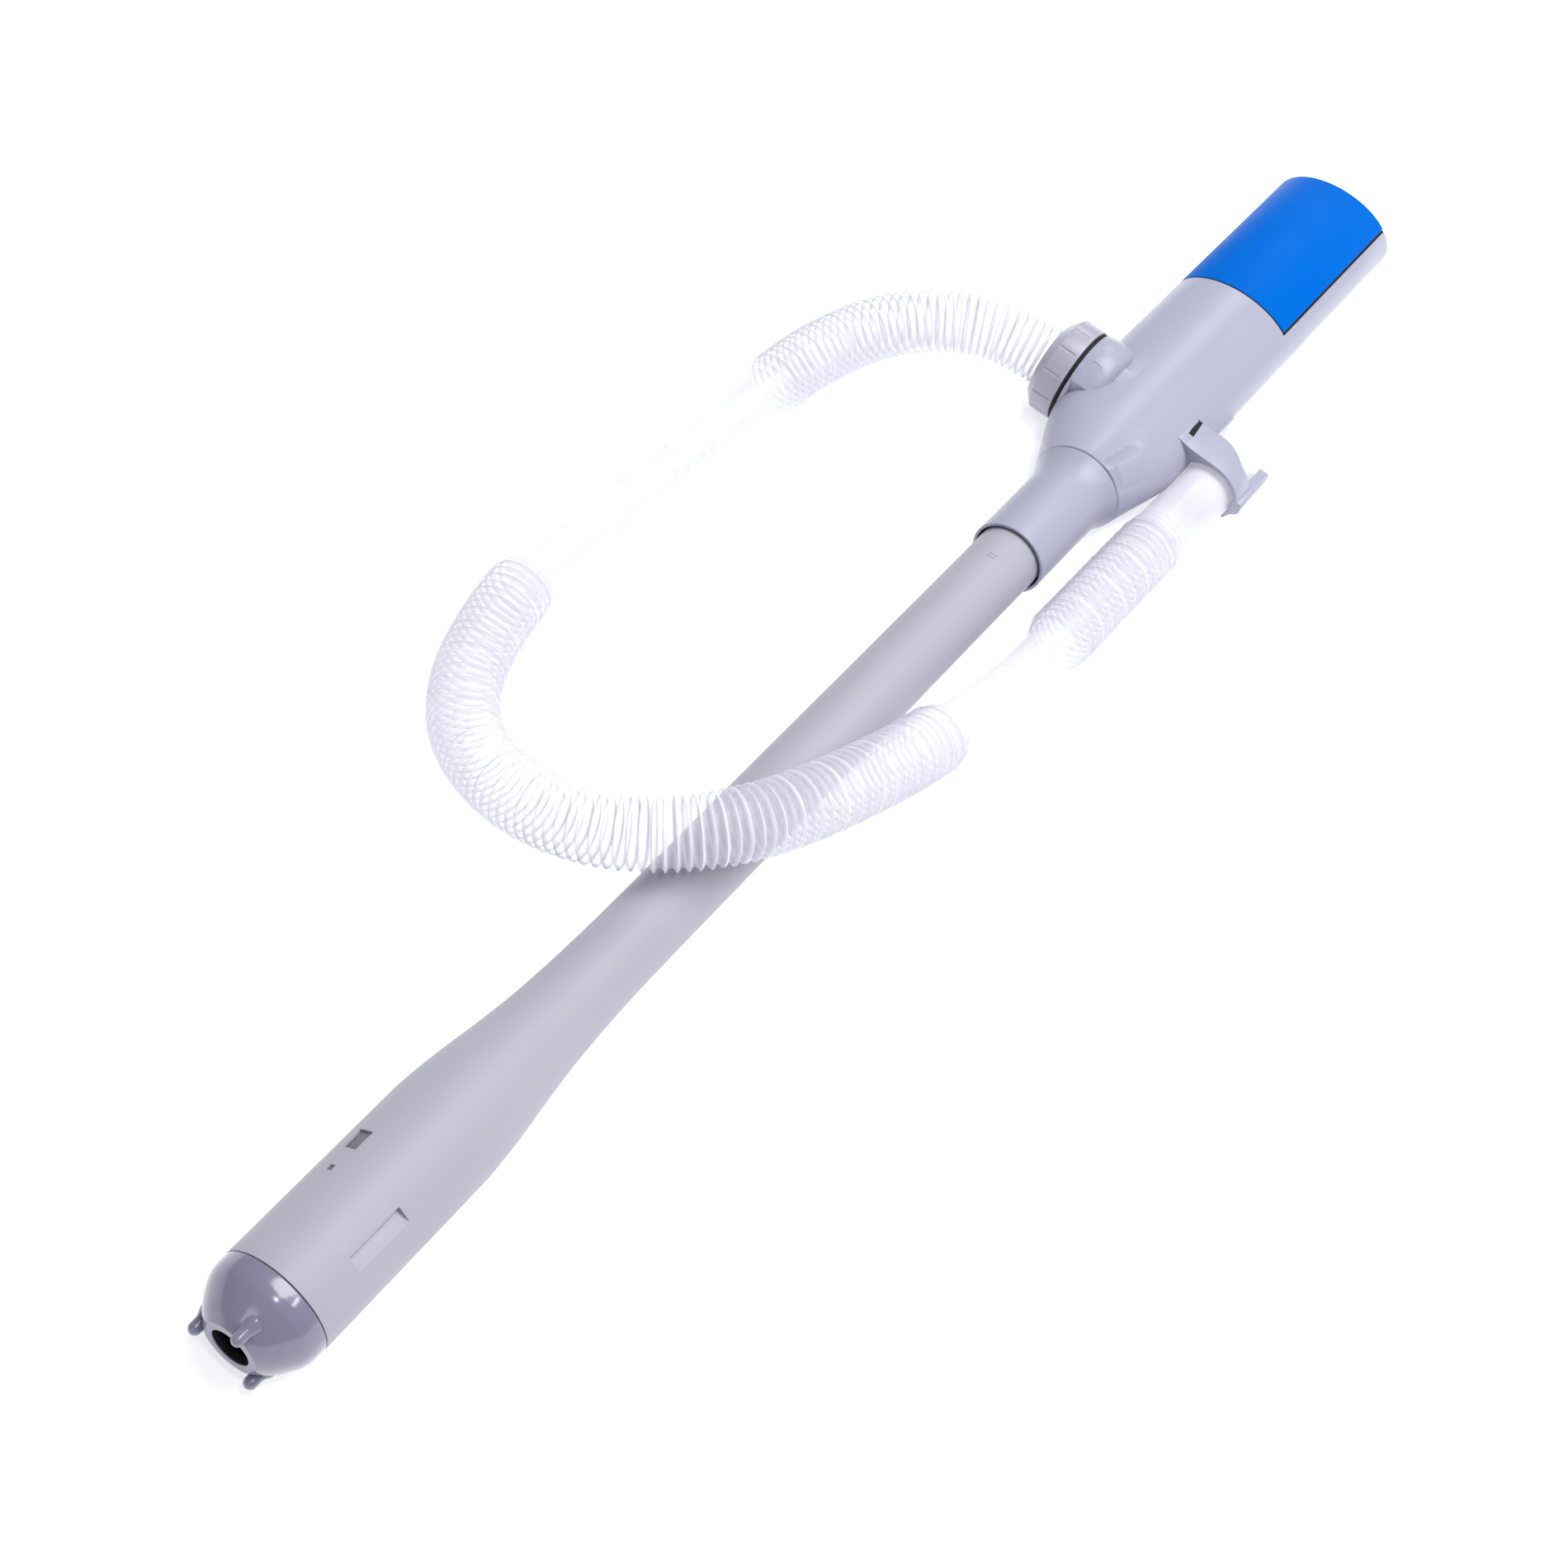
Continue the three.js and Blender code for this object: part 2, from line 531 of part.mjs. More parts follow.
// ---------------------------------------------------------------- hose
function hoseStretch(curve, from, to, radius, steps) {
  const pointAt = (_, i) => curve.getPointAt(from + ((to - from) * i) / steps);
  const points = Array.from({ length: steps + 1 }, pointAt);
  const shape = new THREE.Shape();
  shape.absarc(0, 0, radius, 0, 2 * Math.PI, false);
  const path = new THREE.CatmullRomCurve3(points, false, "centripetal");
  return toSolid(new THREE.ExtrudeGeometry(shape, {
    steps, curveSegments: 6, extrudePath: path, bevelEnabled: false,
  }));
}

function hose() {
  const curve = new THREE.CatmullRomCurve3(
    HOSE_ROUTE.map((point) => new THREE.Vector3(...point)), false, "centripetal");
  curve.arcLengthDivisions = 2000;
  let from = 0;
  let solid = null;
  for (const [to, radius, steps] of HOSE_STRETCHES) {
    const overlap = to < 1 ? 0.003 : 0;
    const stretch = hoseStretch(curve, from, to + overlap, radius, steps);
    solid = solid ? solid.add(stretch) : stretch;
    from = to;
  }
  return solid;
}

const pump = new THREE.Group();
pump.add(assembly);
add("hose", hose(), CLEAR_WHITE, pump);

export default pump;
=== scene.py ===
"""Looks for a battery liquid transfer pump: grey moulded pump, tube and flat oval head, blue battery
cover, milky corrugated hose. Shapes are drawn in millimetres about the pump axis, as the CAD is, and
then put in the shared frame in metres."""

import math

import bmesh
import bpy
from mathutils import Matrix, Vector


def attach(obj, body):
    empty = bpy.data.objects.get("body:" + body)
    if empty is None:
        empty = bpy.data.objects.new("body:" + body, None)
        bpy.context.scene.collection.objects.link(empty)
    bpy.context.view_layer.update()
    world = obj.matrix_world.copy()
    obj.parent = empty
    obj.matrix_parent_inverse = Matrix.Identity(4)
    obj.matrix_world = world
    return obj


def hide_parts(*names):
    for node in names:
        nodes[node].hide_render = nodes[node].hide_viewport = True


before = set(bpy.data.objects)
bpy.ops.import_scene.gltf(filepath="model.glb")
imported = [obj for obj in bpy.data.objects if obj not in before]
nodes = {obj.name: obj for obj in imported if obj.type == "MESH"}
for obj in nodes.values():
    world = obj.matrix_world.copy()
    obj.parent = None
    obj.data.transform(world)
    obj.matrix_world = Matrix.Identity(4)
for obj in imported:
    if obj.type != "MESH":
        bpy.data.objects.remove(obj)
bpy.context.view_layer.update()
scene = bpy.context.scene

# ------------------------------------------------------------------ dimensions (mm, pump axis frame)
MM = 0.001
MID_X = 334
MID_Y = -4
AXIS_Z = 19.5
PLACE = Matrix.Diagonal((MM, MM, MM, 1)) @ Matrix.Translation((-MID_X, -MID_Y, AXIS_Z))

FINE = 144  # sides of a large turned piece
GAP = 0.3  # running clearance between pieces
PUMP_R = 19
PUMP_BORE_R = 16.8
BORE_R = 16
TUBE_R = 12.58
TUBE_BORE_R = 10.9
SEAM_X = 19.6
HOLE_R = 6.6
PEG_R = 2.05
PEG_CIRCLE = 12.2
PEG_ANGLES = (104, 224, 344)
SPIGOT_END_X = 27
SPIGOT_R = PUMP_BORE_R - GAP
LEDGE_X = 28.7
POCKET_X = (36.5, 57)
POCKET_DEG = 30
LATCH_X = (62, 69.5)
LATCH_DEG = -42
ARROW_X = (53, 55)
ARROW_DEG = -40
SOCKET_X = 402.9
SOCKET_R = 14.65
COLLAR_X = 452.2
COLLAR_R = 17.8
COLLAR_GAP = 0.5
HEAD_X = 481
HEAD_TOP_X = 667
HEAD_RY = 26.8
HEAD_RZ = 16.3
HEAD_CY = 1.85
WALL = 2
WET_END_X = 548
BAY_X = 552
COVER_X = 577
COVER_WALL = 1.6
COVER_FROM_DEG = -12
COVER_TO_DEG = 140.7
WINDOW_DEG = (12, 134)
SEAM_DEG = 2.2  # open seam beyond the cover's long edges
END_WALL_X = 663.5
CELL_R = 7.2
CELL_LENGTH = 50
CELL_PITCH = 15.2
CELL_X = 558.5
OUTLET_X = 502
NECK_R = 15.5
LOBE_R = 20.1
LOBE_X = 494
FLANGE_R = 19.3
FLANGE_Y = 29
NUT_Y = 30.6
NUT_R = 19.5
NUT_END_Y = 43
NUT_GROOVES = 12
HOSE_BORE_R = 13.1
CLIP_X = 493
CLIP_LENGTH = 23
CLIP_Y = -35
CLIP_Z = -5.6
CLIP_R = 13.4
CLIP_WALL = 1.7

NOSE_OUTER = [(1.8, 9.7), (4, 12.3), (7, 14.9), (10, 16.9), (12.5, 18.2), (15, 18.85), (17, PUMP_R)]
TAPER = [
    (90, PUMP_R), (96, 18.6), (104, 17.9), (112, 16.95), (120, 15.9), (128, 15), (136, 14.2),
    (145, 13.6), (156, 13.1), (170, 12.7), (188, TUBE_R),
]
FLARE = [
    (COLLAR_X, COLLAR_R, COLLAR_R, 0), (455, 18.9, 17, 0.3), (460, 20.6, 16.6, 0.7),
    (466, 22.6, 16.4, 1.1), (472, 24.5, HEAD_RZ, 1.5), (477, 25.9, HEAD_RZ, 1.75),
    (HEAD_X, HEAD_RY, HEAD_RZ, HEAD_CY),
]

# Moulded ridge on the flare, above and below on the clip's side. Heights are shares of the radius, widths
# are radians, and it rises and fades over shares of the flare's length.
RIDGE_FROM_DEG = 116
RIDGE_TURN_DEG = 10
RIDGE_HEIGHT = 0.16
RIDGE_DIP = 0.07
RIDGE_HOLLOW = 0.24
RIDGE_FLANK = 0.5
RIDGE_RISE = 0.12
RIDGE_FADE = 0.4

# The hose's centre line over the table, in the shared frame, as in the CAD (metres).
HOSE_ROUTE = [
    (0.168, 0.0405, 0.0195), (0.168, 0.052, 0.0195), (0.1646, 0.0723, 0.0184),
    (0.1542, 0.0902, 0.016), (0.1384, 0.1036, 0.0139), (0.119, 0.1114, 0.0128),
    (0.098, 0.1154, 0.0126), (0.075, 0.1174, 0.0112), (0.048, 0.1188, 0.0096),
    (0.02, 0.1198, 0.0094), (-0.008, 0.121, 0.0096), (-0.035, 0.1215, 0.011),
    (-0.062, 0.1205, 0.0126), (-0.086, 0.116, 0.0128), (-0.109, 0.1075, 0.0136),
    (-0.127, 0.0935, 0.017), (-0.138, 0.075, 0.023), (-0.1425, 0.054, 0.03),
    (-0.14, 0.032, 0.038), (-0.13, 0.0135, 0.0436), (-0.114, -0.001, 0.0462),
    (-0.094, -0.0105, 0.0446), (-0.07, -0.017, 0.0396), (-0.045, -0.0218, 0.0334),
    (-0.019, -0.0252, 0.027), (0.008, -0.0276, 0.021), (0.036, -0.0288, 0.0158),
    (0.064, -0.0292, 0.0132), (0.092, -0.0294, 0.0127), (0.12, -0.03, 0.0129),
    (0.146, -0.0307, 0.0136), (0.168, -0.031, 0.0139), (0.199, -0.031, 0.0139),
]
HOSE_R = 12.4
HOSE_PLAIN_R = 8.8
HOSE_CUFF_R = 11
RIB_DEPTH = 1.5
# Where each stretch ends, as a share of the length, its crest radius, and the depth of its ribs.
HOSE_STRETCHES = [
    (0.175, HOSE_R, RIB_DEPTH), (0.353, HOSE_PLAIN_R, 0), (0.717, HOSE_R, RIB_DEPTH),
    (0.812, HOSE_PLAIN_R, 0), (0.906, HOSE_R, RIB_DEPTH), (1, HOSE_CUFF_R, 0),
]
HOSE_TAPER = 0.0065  # share of the length over which one stretch passes into the next
HOSE_STEP = 0.0005  # metres between rings of the mesh
RIB_PITCH = 3.3
RIB_SHARPNESS = 2.4
HOSE_WALL = 1.1
# How opaque the hose is: on a rib's crest, in a valley, on the plain stretches and on the inner wall.
CREST_ALPHA = 0.9
VALLEY_ALPHA = 0.24
PLAIN_ALPHA = 0.52
BORE_ALPHA = 0.1


# ------------------------------------------------------------------ camera, light, floor
def make_camera():
    camera = bpy.data.cameras.new("camera")
    camera.sensor_width = 36
    camera.lens = 58.61
    camera.clip_start = 0.01
    holder = bpy.data.objects.new("camera", camera)
    right = Vector((0.57350, -0.78938, 0.21902))
    up = Vector((0.58290, 0.58108, 0.56796))
    back = Vector((-0.57560, -0.19805, 0.79338))
    turn = Matrix((right, up, back)).transposed().to_4x4()
    holder.matrix_world = Matrix.Translation((-0.55429, -0.16212, 0.68564)) @ turn
    scene.collection.objects.link(holder)
    scene.camera = holder


def soft_box(name, toward, distance, size, power):
    light = bpy.data.lights.new(name, "AREA")
    light.shape = "RECTANGLE"
    light.size, light.size_y = size
    light.energy = power
    holder = bpy.data.objects.new(name, light)
    direction = Vector(toward).normalized()
    holder.location = direction * distance
    holder.rotation_euler = direction.to_track_quat("Z", "Y").to_euler()
    scene.collection.objects.link(holder)


def make_world():
    world = bpy.data.worlds.new("studio")
    world.use_nodes = True
    background = world.node_tree.nodes["Background"]
    background.inputs["Color"].default_value = (0.93, 0.95, 1.0, 1)
    background.inputs["Strength"].default_value = 0.3
    scene.world = world
    scene.view_settings.view_transform = "Standard"


def make_floor():
    mesh = bpy.data.meshes.new("floor")
    half = 4.0
    below = -0.0003
    corners = [(-half, -half, below), (half, -half, below), (half, half, below), (-half, half, below)]
    mesh.from_pydata(corners, [], [(0, 1, 2, 3)])
    floor = bpy.data.objects.new("floor", mesh)
    scene.collection.objects.link(floor)
    material = bpy.data.materials.new("floor")
    material.use_nodes = True
    shader = material.node_tree.nodes["Principled BSDF"]
    shader.inputs["Base Color"].default_value = (0.93, 0.93, 0.94, 1)
    shader.inputs["Roughness"].default_value = 0.9
    shader.inputs["Specular IOR Level"].default_value = 0.1
    shader.inputs["Emission Color"].default_value = (1, 1, 1, 1)
    shader.inputs["Emission Strength"].default_value = 0.5
    mesh.materials.append(material)


make_camera()
make_world()
make_floor()
soft_box("key", (0.24, -0.14, 0.95), 2.0, (1.25, 1.25), 48.5)
soft_box("far_strip", (0.80, 0.20, 0.56), 1.8, (0.2, 0.5), 3)
soft_box("small_lamp", (-0.34, -0.19, 0.92), 1.6, (0.11, 0.11), 3)
soft_box("side_strip", (0.14, -0.60, 0.79), 1.7, (0.42, 0.12), 4)
soft_box("front_card", (-0.88, 0.07, 0.46), 1.6, (0.4, 0.5), 2)


# ------------------------------------------------------------------ materials
class Paint:
    """A Principled material being wired up."""

    def __init__(self, name):
        self.material = bpy.data.materials.new(name)
        self.material.use_nodes = True
        self.tree = self.material.node_tree
        self.shader = self.tree.nodes["Principled BSDF"]
        self.object_space = self.node("ShaderNodeTexCoord").outputs["Object"]

    def node(self, kind, **values):
        made = self.tree.nodes.new(kind)
        for key, value in values.items():
            setattr(made, key, value)
        return made

    def link(self, source, target):
        self.tree.links.new(source, target)

    def fix(self, socket, value):
        self.shader.inputs[socket].default_value = value

    def noise(self, scale, detail=3, roughness=0.55, stretch=(1, 1, 1)):
        mapping = self.node("ShaderNodeMapping")
        mapping.inputs["Scale"].default_value = stretch
        self.link(self.object_space, mapping.inputs["Vector"])
        noise = self.node("ShaderNodeTexNoise")
        noise.inputs["Scale"].default_value = scale
        noise.inputs["Detail"].default_value = detail
        noise.inputs["Roughness"].default_value = roughness
        self.link(mapping.outputs["Vector"], noise.inputs["Vector"])
        return noise.outputs["Fac"]

    def spread(self, source, low, high, from_low=0.3, from_high=0.7):
        ranged = self.node("ShaderNodeMapRange")
        ranged.inputs["From Min"].default_value = from_low
        ranged.inputs["From Max"].default_value = from_high
        ranged.inputs["To Min"].default_value = low
        ranged.inputs["To Max"].default_value = high
        self.link(source, ranged.inputs["Value"])
        return ranged.outputs["Result"]

    def mix(self, factor, first, second):
        mixer = self.node("ShaderNodeMix", data_type="RGBA")
        for socket, value in (("A", first), ("B", second)):
            target = [s for s in mixer.inputs if s.name == socket and s.type == "RGBA"][0]
            if isinstance(value, tuple):
                target.default_value = (*value, 1)
            else:
                self.link(value, target)
        self.link(factor, mixer.inputs["Factor"])
        return [s for s in mixer.outputs if s.type == "RGBA"][0]

    def bump(self, height, strength, distance, after=None):
        bump = self.node("ShaderNodeBump")
        bump.inputs["Strength"].default_value = strength
        bump.inputs["Distance"].default_value = distance
        self.link(height, bump.inputs["Height"])
        if after is not None:
            self.link(after, bump.inputs["Normal"])
        return bump.outputs["Normal"]


def moulded(name, color, roughness, grain=0.25, specular=0.5, tint=(1, 1, 1)):
    """Moulded plastic: fine grain, slow flow marks, faint colour drift and uneven polish."""
    paint = Paint(name)
    drift = paint.noise(9, 2, 0.5, (0.35, 1, 1))
    fine = paint.noise(1900, 2, 0.6)
    darker = tuple(c * 0.965 for c in color)
    lighter = tuple(min(1, c * 1.02) for c in color)
    base = paint.mix(paint.spread(drift, 0, 1), darker, lighter)
    specks = paint.spread(fine, 0, 0.12, 0.25, 0.45)
    base = paint.mix(specks, base, lighter)
    paint.link(base, paint.shader.inputs["Base Color"])
    patch = paint.noise(38, 3, 0.6)
    rough = paint.spread(patch, roughness - 0.04, roughness + 0.04)
    paint.link(rough, paint.shader.inputs["Roughness"])
    flow = paint.noise(60, 2, 0.5, (0.3, 1, 1))
    normal = paint.bump(flow, 0.1, 0.0002)
    normal = paint.bump(fine, grain, 0.00003, normal)
    paint.link(normal, paint.shader.inputs["Normal"])
    paint.fix("Specular IOR Level", specular)
    paint.fix("Specular Tint", (*tint, 1))
    return paint.material


def milky(name):
    """Soft translucent polyethylene; thick on the rib crests and at the ends, thin in the valleys."""
    paint = Paint(name)
    thick = paint.node("ShaderNodeAttribute", attribute_name="thickness").outputs["Fac"]
    cloud = paint.noise(55, 3, 0.55)
    paint.link(paint.mix(paint.spread(cloud, 0, 1), (0.68, 0.68, 0.765), (0.71, 0.71, 0.79)),
               paint.shader.inputs["Base Color"])
    paint.link(thick, paint.shader.inputs["Alpha"])
    paint.link(paint.spread(paint.noise(120, 2, 0.5), 0.26, 0.36), paint.shader.inputs["Roughness"])
    paint.link(paint.bump(paint.noise(900, 2, 0.5), 0.15, 0.00003), paint.shader.inputs["Normal"])
    return paint.material


def rubber(name, color=(0.012, 0.012, 0.014), roughness=0.62):
    paint = Paint(name)
    dust = paint.noise(220, 4, 0.6)
    paint.link(paint.mix(paint.spread(dust, 0, 1, 0.4, 0.8), color, tuple(c * 2.2 for c in color)),
               paint.shader.inputs["Base Color"])
    paint.link(paint.spread(dust, roughness - 0.08, roughness + 0.1), paint.shader.inputs["Roughness"])
    paint.link(paint.bump(paint.noise(1500, 2, 0.5), 0.3, 0.00004), paint.shader.inputs["Normal"])
    paint.fix("Specular IOR Level", 0.12)
    return paint.material


def brushed_steel(name):
    paint = Paint(name)
    lines = paint.noise(900, 2, 0.6, (0.04, 1, 1))
    base = paint.mix(lines, (0.50, 0.51, 0.53), (0.66, 0.67, 0.69))
    paint.link(base, paint.shader.inputs["Base Color"])
    paint.fix("Metallic", 1.0)
    paint.link(paint.spread(lines, 0.22, 0.38), paint.shader.inputs["Roughness"])
    paint.link(paint.bump(lines, 0.15, 0.00003), paint.shader.inputs["Normal"])
    return paint.material


def cell_wrap(name):
    """Shrink sleeve of a cell: dark body with a bright band at its positive end, repeated per cell."""
    paint = Paint(name)
    split = paint.node("ShaderNodeSeparateXYZ")
    paint.link(paint.object_space, split.inputs["Vector"])
    first = (CELL_X - MID_X) * MM
    pitch = (CELL_LENGTH + 1 + GAP) * MM
    shifted = paint.node("ShaderNodeMath", operation="SUBTRACT")
    paint.link(split.outputs["X"], shifted.inputs[0])
    shifted.inputs[1].default_value = first
    share = paint.node("ShaderNodeMath", operation="DIVIDE")
    paint.link(shifted.outputs[0], share.inputs[0])
    share.inputs[1].default_value = pitch
    phase = paint.node("ShaderNodeMath", operation="FRACT")
    paint.link(share.outputs[0], phase.inputs[0])
    band = paint.spread(phase.outputs[0], 0, 1, 0.735, 0.745)
    scuff = paint.noise(300, 4, 0.6)
    dark = paint.mix(paint.spread(scuff, 0, 1), (0.02, 0.07, 0.05), (0.035, 0.10, 0.07))
    paint.link(paint.mix(band, dark, (0.72, 0.40, 0.16)), paint.shader.inputs["Base Color"])
    paint.link(paint.spread(scuff, 0.22, 0.36), paint.shader.inputs["Roughness"])
    paint.link(paint.bump(scuff, 0.1, 0.00005), paint.shader.inputs["Normal"])
    return paint.material


GREY = moulded("grey_plastic", (0.318, 0.324, 0.412), 0.34, specular=0.3)
# The nose's grey is darkened as painted shade for the nose's dark underside and front.
NOSE_SHADED_GREY = moulded("nose_plastic_painted_shade", (0.172, 0.168, 0.242), 0.17, grain=0.1, specular=0.55)
TUBE_GREY = moulded("tube_plastic", (0.335, 0.332, 0.392), 0.5, grain=0.4, specular=0.22)
BLUE = moulded("blue_plastic", (0.0, 0.104, 0.475), 0.45, specular=0.06, tint=(0.0, 0.2, 1.0))
NUT_GREY = moulded("nut_plastic", (0.315, 0.315, 0.385), 0.3, specular=0.45)
# Dark grey for painted shade in the latch pocket and for the small mark beside it.
SHADE_AND_MARK_GREY = moulded("shade_and_mark_plastic", (0.13, 0.13, 0.155), 0.6)
# Lighter copy of the tube's plastic for the long pocket's upward floor: painted light where the lamp falls
# on it.
POCKET_FLOOR_LIT_GREY = moulded("pocket_floor_painted_light", (0.365, 0.365, 0.425), 0.55, specular=0.22)
MILKY = milky("hose_plastic")
RUBBER = rubber("black_rubber")
BLACK = moulded("black_plastic", (0.014, 0.014, 0.017), 0.42)
INNER = moulded("inner_plastic", (0.74, 0.74, 0.72), 0.45)
STEEL = brushed_steel("steel")
CELL = cell_wrap("cell_sleeve")
RED_WIRE = moulded("red_wire", (0.42, 0.02, 0.02), 0.4)
BLACK_WIRE = moulded("black_wire", (0.02, 0.02, 0.02), 0.4)


# ------------------------------------------------------------------ mesh building
def new_object(name, verts, faces):
    mesh = bpy.data.meshes.new(name)
    mesh.from_pydata(verts, [], faces)
    shape = bmesh.new()
    shape.from_mesh(mesh)
    bmesh.ops.recalc_face_normals(shape, faces=shape.faces)
    shape.to_mesh(mesh)
    shape.free()
    made = bpy.data.objects.new(name, mesh)
    scene.collection.objects.link(made)
    return made


def skin(rows, closed):
    """Faces between rows of vertex numbers. A row of one is a pole, and closed joins last to first."""
    faces = []
    pairs = list(zip(rows, rows[1:]))
    if closed:
        pairs.append((rows[-1], rows[0]))
    for a, b in pairs:
        count = max(len(a), len(b))
        for k in range(count):
            j = (k + 1) % count
            if len(a) == 1:
                faces.append((a[0], b[k], b[j]))
            elif len(b) == 1:
                faces.append((a[k], b[0], a[j]))
            else:
                faces.append((a[k], b[k], b[j], a[j]))
    return faces


def stack(name, stations, sides=FINE, ease=None):
    """Ovals along X, each (x, half width, half thickness, centre y). A zero half width is a pole."""
    verts, rows = [], []
    for x, half_y, half_z, centre in stations:
        if half_y < 1e-6:
            rows.append([len(verts)])
            verts.append((x, centre, 0))
            continue
        rows.append(list(range(len(verts), len(verts) + sides)))
        for k in range(sides):
            angle = math.tau * k / sides
            swell = ease(x, angle) if ease else 1
            y = centre + swell * half_y * math.cos(angle)
            verts.append((x, y, swell * half_z * math.sin(angle)))
    return new_object(name, verts, skin(rows, stations[0][1] > 0))


def eased(profile, radius, steps=4):
    """Rounds the sharp corners of an outline. A turned profile that starts on the axis stays open."""
    closed = profile[0][1] > 0
    out = []
    count = len(profile)
    for i, point in enumerate(profile):
        here = Vector(point)
        if not closed and i in (0, count - 1):
            out.append(tuple(here))
            continue
        before = Vector(profile[i - 1]) - here
        after = Vector(profile[(i + 1) % count]) - here
        turn = math.pi - before.angle(after)
        if turn < math.radians(24):
            out.append(tuple(here))
            continue
        trim = min(radius * math.tan(turn / 2), 0.45 * before.length, 0.45 * after.length)
        start = here + before.normalized() * trim
        end = here + after.normalized() * trim
        for k in range(steps + 1):
            t = k / steps
            out.append(tuple((1 - t) ** 2 * start + 2 * t * (1 - t) * here + t * t * end))
    return out


def turned(name, profile, sides=FINE, ease=0.35):
    """A profile of (x, radius) turned about the pump axis."""
    rounded = eased(profile, ease) if ease else profile
    return stack(name, [(x, r, r, 0) for x, r in rounded], sides)


def turned_about_outlet(name, profile, sides=FINE, ease=0.35):
    made = turned(name, profile, sides, ease)
    made.data.transform(Matrix.Translation((OUTLET_X, 0, 0)) @ Matrix.Rotation(math.pi / 2, 4, "Z"))
    return made


def prism(name, outline, x0, x1):
    count = len(outline)
    verts = [(x0, y, z) for y, z in outline] + [(x1, y, z) for y, z in outline]
    faces = [tuple(range(count)), tuple(range(2 * count - 1, count - 1, -1))]
    for k in range(count):
        j = (k + 1) % count
        faces.append((k, j, count + j, count + k))
    return new_object(name, verts, faces)


def block(name, x0, x1, y0, y1, z0, z1, ease=0):
    made = prism(name, [(y0, z0), (y1, z0), (y1, z1), (y0, z1)], x0, x1)
    if ease:
        chamfer(made, ease)
    return made


def turn_x(made, degrees):
    made.data.transform(Matrix.Rotation(math.radians(degrees), 4, "X"))
    return made


def move(made, x, y, z):
    made.data.transform(Matrix.Translation((x, y, z)))
    return made


def applied(made):
    bpy.context.view_layer.update()
    graph = bpy.context.evaluated_depsgraph_get()
    mesh = bpy.data.meshes.new_from_object(made.evaluated_get(graph))
    made.modifiers.clear()
    made.data = mesh
    return made


def chamfer(made, width, segments=3, angle=40):
    bevel = made.modifiers.new("edge", "BEVEL")
    bevel.width = width
    bevel.segments = segments
    bevel.limit_method = "ANGLE"
    bevel.angle_limit = math.radians(angle)
    bevel.harden_normals = False
    return applied(made)


def combine(made, tool, operation):
    """Joins or cuts made with tool, which is used up."""
    change = made.modifiers.new("change", "BOOLEAN")
    change.operation = operation
    change.solver = "EXACT"
    change.object = tool
    applied(made)
    bpy.data.objects.remove(tool)
    return made


def join(made, tool):
    return combine(made, tool, "UNION")


def cut(made, tool):
    return combine(made, tool, "DIFFERENCE")


def smooth_line(points, steps):
    """Centripetal Catmull-Rom curve through the points, the same as the CAD's."""
    line = [Vector(p) for p in points]
    line = [line[0] * 2 - line[1], *line, line[-1] * 2 - line[-2]]
    out = []
    for i in range(1, len(line) - 2):
        a, b, c, d = line[i - 1:i + 3]
        before = math.sqrt((b - a).length)
        here = math.sqrt((c - b).length)
        after = math.sqrt((d - c).length)
        leave = ((b - a) / before - (c - a) / (before + here) + (c - b) / here) * here
        arrive = ((c - b) / here - (d - b) / (here + after) + (d - c) / after) * here
        for k in range(steps):
            t = k / steps
            t2, t3 = t * t, t * t * t
            out.append(b * (2 * t3 - 3 * t2 + 1) + leave * (t3 - 2 * t2 + t)
                       + c * (3 * t2 - 2 * t3) + arrive * (t3 - t2))
    out.append(line[-2])
    return out


def dress(made, material, body, replaced=(), place=PLACE, angle=33):
    made.data.transform(place)
    made.data.materials.clear()
    made.data.materials.append(material)
    for face in made.data.polygons:
        face.use_smooth = True
        face.material_index = 0
    made.data.set_sharp_from_angle(angle=math.radians(angle))
    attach(made, body)
    if replaced:
        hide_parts(*replaced)
    return made


# ------------------------------------------------------------------ nose
def nose():
    outer = [tuple(p) for p in smooth_line(NOSE_OUTER, 5)]
    cap = turned("nose_shell", [
        (1.8, HOLE_R), *outer, (SEAM_X - GAP, PUMP_R), (SEAM_X - GAP, SPIGOT_R),
        (SPIGOT_END_X, SPIGOT_R), (SPIGOT_END_X, 14.6), (15, 14.6), (8, 12), (4.6, HOLE_R),
    ], ease=0.3)
    for angle in PEG_ANGLES:
        tip = [(-1 + PEG_R * (1 - math.cos(t)), PEG_R * math.sin(t)) for t in
               (k * math.pi / 12 for k in range(7))]
        root = [(3.4, PEG_R), (4.4, 2.3), (5.4, 2.8), (6.4, 3.3), (7.6, 3.5), (7.6, 0)]
        peg = turned("peg", tip + root, 40, ease=0)
        move(peg, 0, PEG_CIRCLE * math.cos(math.radians(angle)), PEG_CIRCLE * math.sin(math.radians(angle)))
        join(cap, peg)
    cut(cap, turned("hollow", [
        (1, 0), (1, HOLE_R - 0.4), (4.7, HOLE_R), (8.1, 12), (15, 14.6), (20, 14.6), (20, 0),
    ], ease=0))
    dress(cap, NOSE_SHADED_GREY, "nose", ["nose_cap"])
    # The inward faces of the nose's hollow get black plastic: painted shade inside the opening of the grey
    # shell.
    cap.data.materials.append(BLACK)
    zero = Vector((-MID_X * MM, -MID_Y * MM, AXIS_Z * MM))
    for face in cap.data.polygons:
        centre = face.center - zero
        radial = Vector((0, centre.y, centre.z))
        if centre.x > 2.6 * MM and radial.length < 14.75 * MM and radial.dot(face.normal) < 0:
            face.material_index = 1


nose()


